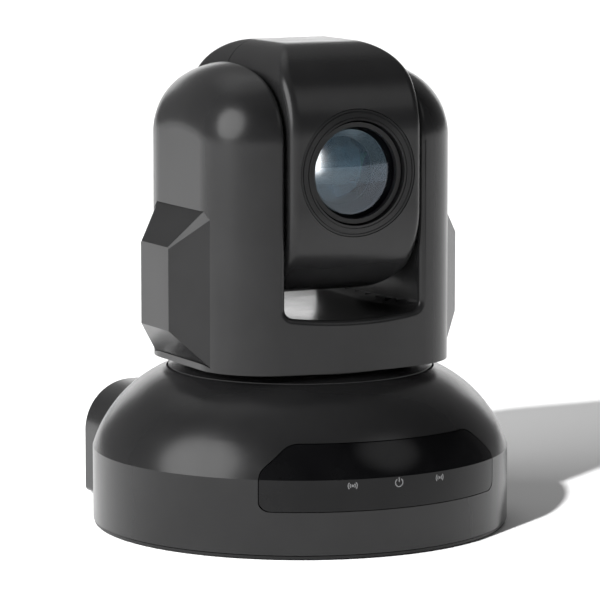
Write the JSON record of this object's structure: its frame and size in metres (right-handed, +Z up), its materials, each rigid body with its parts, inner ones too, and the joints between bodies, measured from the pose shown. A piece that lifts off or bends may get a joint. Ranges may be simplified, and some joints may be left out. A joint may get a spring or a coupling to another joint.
{
  "type": "ptz camera",
  "caption": "Pan-tilt-zoom conference camera: round base with a smoked signal window, a turning yoke and a tilting lens head with a zoom lens.",
  "frame": {"origin": "mouth of the tripod thread on the pan axis, in the plane of the feet that the camera stands on", "axes": "+Z up along the pan axis, -Y the way the lens looks at rest, +X to the right of someone facing the lens"},
  "size_m": [0.13, 0.135, 0.1511],
  "materials": {
    "housing_plastic": "satin moulded, charcoal",
    "inner_plastic": "matt moulded, black",
    "smoked_window": "polished, smoked",
    "lens_glass": "coated",
    "rubber": "matt",
    "steel": "plated",
    "screw_steel": "blackened",
    "aluminium": "satin",
    "brass": "turned",
    "circuit_board": "solder mask",
    "chip_plastic": "moulded epoxy",
    "gear_plastic": "moulded, natural",
    "lamp": "diffuse lens"
  },
  "bodies": {
    "base": {"base_shell": "housing_plastic", "base_plate": "inner_plastic", "rubber_feet": "rubber", "tripod_insert": "brass", "base_screws": "screw_steel", "ir_window": "smoked_window", "indicator_board": "circuit_board", "ir_receivers": "chip_plastic", "power_led": "lamp", "rear_hood": "housing_plastic", "connector_panel": "inner_plastic", "dc_jack": "inner_plastic", "usb_socket": "steel", "control_sockets": "inner_plastic", "main_board": "circuit_board", "board_chips": "chip_plastic", "board_standoffs": "brass", "chassis_pillars": "aluminium", "inner_screws": "steel", "pan_chassis": "aluminium", "pan_bearing": "brass", "pan_motor": "steel", "pan_home_sensor": "inner_plastic"},
    "pan_drive": {"pan_motor_shaft": "steel", "pan_pinion": "brass"},
    "yoke": {"turntable": "housing_plastic", "pan_spindle": "aluminium", "pan_gear": "gear_plastic", "pan_retaining_ring": "steel", "yoke_front": "housing_plastic", "yoke_rear": "housing_plastic", "left_side_cover": "housing_plastic", "right_side_cover": "housing_plastic", "yoke_frame": "steel", "yoke_screws": "steel", "tilt_motor": "steel", "tilt_motor_spacers": "steel", "left_tilt_bush": "brass", "right_tilt_bush": "brass", "drive_board": "circuit_board"},
    "tilt_drive": {"tilt_motor_shaft": "steel", "tilt_pinion": "brass"},
    "head": {"head_front": "housing_plastic", "head_rear": "housing_plastic", "lens_trim": "inner_plastic", "lens_barrel": "inner_plastic", "front_lens": "lens_glass", "camera_block": "inner_plastic", "sensor_board": "circuit_board", "image_sensor": "chip_plastic", "guide_rods": "steel", "head_frame": "steel", "left_trunnion": "steel", "right_trunnion": "steel", "tilt_gear": "gear_plastic"},
    "zoom_group": {"zoom_cell": "inner_plastic", "zoom_lens": "lens_glass"},
    "focus_group": {"focus_cell": "inner_plastic", "focus_lens": "lens_glass"}
  },
  "joints": [
    {"name": "pan", "type": "hinge", "parent": "base", "child": "yoke", "pos_m": [0, 0, 0.05], "axis": [0, 0, 1], "range_deg": [-170, 170]},
    {"name": "pan_motor_turn", "type": "hinge", "parent": "base", "child": "pan_drive", "pos_m": [-0.02036, -0.02036, 0.04], "axis": [0, 0, 1], "range_deg": [-705, 705]},
    {"name": "tilt", "type": "hinge", "parent": "yoke", "child": "head", "pos_m": [0, 0, 0.1128], "axis": [-1, 0, 0], "range_deg": [-30, 90]},
    {"name": "tilt_motor_turn", "type": "hinge", "parent": "yoke", "child": "tilt_drive", "pos_m": [-0.03, 0, 0.084], "axis": [-1, 0, 0], "range_deg": [-373, 125]},
    {"name": "zoom", "type": "slide", "parent": "head", "child": "zoom_group", "axis": [0, 1, 0], "range_m": [0, 0.014]},
    {"name": "focus", "type": "slide", "parent": "head", "child": "focus_group", "axis": [0, 1, 0], "range_m": [-0.004, 0.009]}
  ],
  "couplings": [
    {"joint": "pan_motor_turn", "follows": "pan", "ratio": -4.1429},
    {"joint": "tilt_motor_turn", "follows": "tilt", "ratio": -4.1429}
  ]
}
